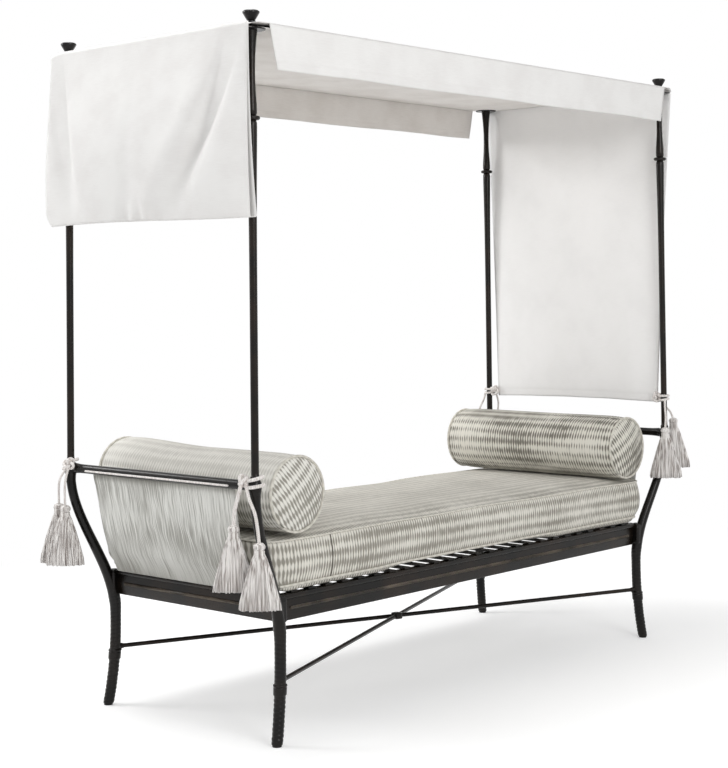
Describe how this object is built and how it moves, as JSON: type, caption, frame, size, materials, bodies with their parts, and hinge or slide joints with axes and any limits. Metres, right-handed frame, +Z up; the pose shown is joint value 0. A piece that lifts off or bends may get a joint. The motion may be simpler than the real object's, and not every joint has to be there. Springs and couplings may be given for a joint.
{
  "type": "canopy daybed",
  "caption": "Metal canopy daybed: scimitar legs sweep up into the arms, slender turned posts carry a cloth canopy with end drops, and it has a boxed cushion, bolsters and tasselled ties.",
  "frame": {"origin": "centre of the daybed's footprint, on the floor", "axes": "+X along the bed, +Z up, -Y is the open front; the right end (+X) has its drop let down"},
  "size_m": [2.368, 1.041, 2.1443],
  "materials": {
    "frame_metal": "hand-rubbed dark bronze paint, satin, browner on the raised edges",
    "dark_metal": "near-black satin paint",
    "canopy_cloth": "off-white plain-woven outdoor canvas, matte",
    "cushion_cloth": "grey-beige broken-check weave, matte",
    "sling_cloth": "light grey streaked weave, matte",
    "tie_rope": "twisted cream cotton rope",
    "tassel_yarn": "cream cut yarn, matte",
    "glide_rubber": "black rubber"
  },
  "bodies": {
    "frame": {"front_left_leg": "frame_metal", "back_left_leg": "frame_metal", "front_right_leg": "frame_metal", "back_right_leg": "frame_metal", "foot_glides": "glide_rubber", "front_seat_rail": "frame_metal", "back_seat_rail": "frame_metal", "left_seat_rail": "frame_metal", "right_seat_rail": "frame_metal", "seat_slats": "frame_metal", "left_arm_rail": "frame_metal", "right_arm_rail": "frame_metal", "stretcher_rods": "frame_metal", "stretcher_hub": "frame_metal", "front_left_post": "frame_metal", "back_left_post": "frame_metal", "front_right_post": "frame_metal", "back_right_post": "frame_metal", "post_capitals": "dark_metal", "front_canopy_rail": "frame_metal", "back_canopy_rail": "frame_metal", "left_canopy_rail": "frame_metal", "right_canopy_rail": "frame_metal", "canopy_top": "canopy_cloth", "canopy_lining": "canopy_cloth", "front_valance": "canopy_cloth", "back_valance": "canopy_cloth", "left_drop": "canopy_cloth", "right_drop": "canopy_cloth", "left_end_sling": "sling_cloth", "right_end_sling": "sling_cloth", "front_left_tie": "tie_rope", "back_left_tie": "tie_rope", "front_right_tie": "tie_rope", "back_right_tie": "tie_rope", "front_left_cord_a": "tie_rope", "front_left_cord_b": "tie_rope", "back_left_cord_a": "tie_rope", "back_left_cord_b": "tie_rope", "front_right_cord_a": "tie_rope", "front_right_cord_b": "tie_rope", "back_right_cord_a": "tie_rope", "back_right_cord_b": "tie_rope", "front_left_tassel_a": "tassel_yarn", "front_left_tassel_b": "tassel_yarn", "back_left_tassel_a": "tassel_yarn", "back_left_tassel_b": "tassel_yarn", "front_right_tassel_a": "tassel_yarn", "front_right_tassel_b": "tassel_yarn", "back_right_tassel_a": "tassel_yarn", "back_right_tassel_b": "tassel_yarn"},
    "seat_cushion": {"seat_cushion": "cushion_cloth"},
    "left_bolster": {"left_bolster": "cushion_cloth"},
    "right_bolster": {"right_bolster": "cushion_cloth"},
    "front_left_finial": {"front_left_finial": "dark_metal"},
    "back_left_finial": {"back_left_finial": "dark_metal"},
    "front_right_finial": {"front_right_finial": "dark_metal"},
    "back_right_finial": {"back_right_finial": "dark_metal"}
  },
  "joints": [
    {"name": "seat_cushion_lift", "type": "slide", "parent": "frame", "child": "seat_cushion", "axis": [0, 0, 1], "range_m": [0, 0.25]},
    {"name": "left_bolster_lift", "type": "slide", "parent": "seat_cushion", "child": "left_bolster", "axis": [0, 0, 1], "range_m": [0, 0.25]},
    {"name": "right_bolster_lift", "type": "slide", "parent": "seat_cushion", "child": "right_bolster", "axis": [0, 0, 1], "range_m": [0, 0.25]},
    {"name": "front_left_finial_turn", "type": "hinge", "parent": "frame", "child": "front_left_finial", "pos_m": [-1.1, -0.425, 2.106], "axis": [0, 0, 1], "continuous": true},
    {"name": "front_right_finial_turn", "type": "hinge", "parent": "frame", "child": "front_right_finial", "pos_m": [1.1, -0.425, 2.106], "axis": [0, 0, 1], "continuous": true},
    {"name": "back_left_finial_turn", "type": "hinge", "parent": "frame", "child": "back_left_finial", "pos_m": [-1.1, 0.425, 2.106], "axis": [0, 0, 1], "continuous": true},
    {"name": "back_right_finial_turn", "type": "hinge", "parent": "frame", "child": "back_right_finial", "pos_m": [1.1, 0.425, 2.106], "axis": [0, 0, 1], "continuous": true}
  ]
}
